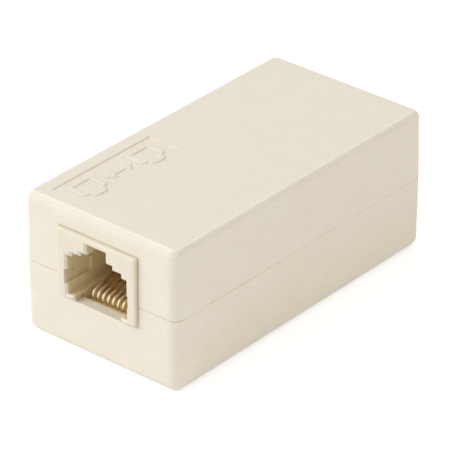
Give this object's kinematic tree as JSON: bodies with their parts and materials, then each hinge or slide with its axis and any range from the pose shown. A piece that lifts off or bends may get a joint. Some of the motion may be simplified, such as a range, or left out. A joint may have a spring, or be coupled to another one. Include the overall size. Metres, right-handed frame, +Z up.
{
  "type": "rj45 inline coupler",
  "caption": "Ivory two-shell box with a modular network socket in each end, which joins two patch cords in a straight line.",
  "frame": {"origin": "middle of the flat face that the coupler rests on", "axes": "+Z up, +Y along the box away from the front socket, +X to the right seen from the front"},
  "size_m": [0.0308, 0.0614, 0.0244],
  "materials": {
    "shell": "ivory moulded plastic, fine matt",
    "socket": "ivory moulded plastic, smooth satin",
    "carrier": "ivory moulded plastic, satin",
    "contact": "gold-plated spring wire",
    "board": "glass-epoxy board with green solder mask",
    "solder": "bright tin solder"
  },
  "bodies": {
    "root": {"upper_shell": "shell", "lower_shell": "shell", "circuit_board": "board", "front_jack_housing": "socket", "front_contact_carrier": "carrier", "front_contact_1": "contact", "front_contact_2": "contact", "front_contact_3": "contact", "front_contact_4": "contact", "front_contact_5": "contact", "front_contact_6": "contact", "front_contact_7": "contact", "front_contact_8": "contact", "front_solder_joints": "solder", "rear_jack_housing": "socket", "rear_contact_carrier": "carrier", "rear_contact_1": "contact", "rear_contact_2": "contact", "rear_contact_3": "contact", "rear_contact_4": "contact", "rear_contact_5": "contact", "rear_contact_6": "contact", "rear_contact_7": "contact", "rear_contact_8": "contact", "rear_solder_joints": "solder"}
  },
  "joints": []
}
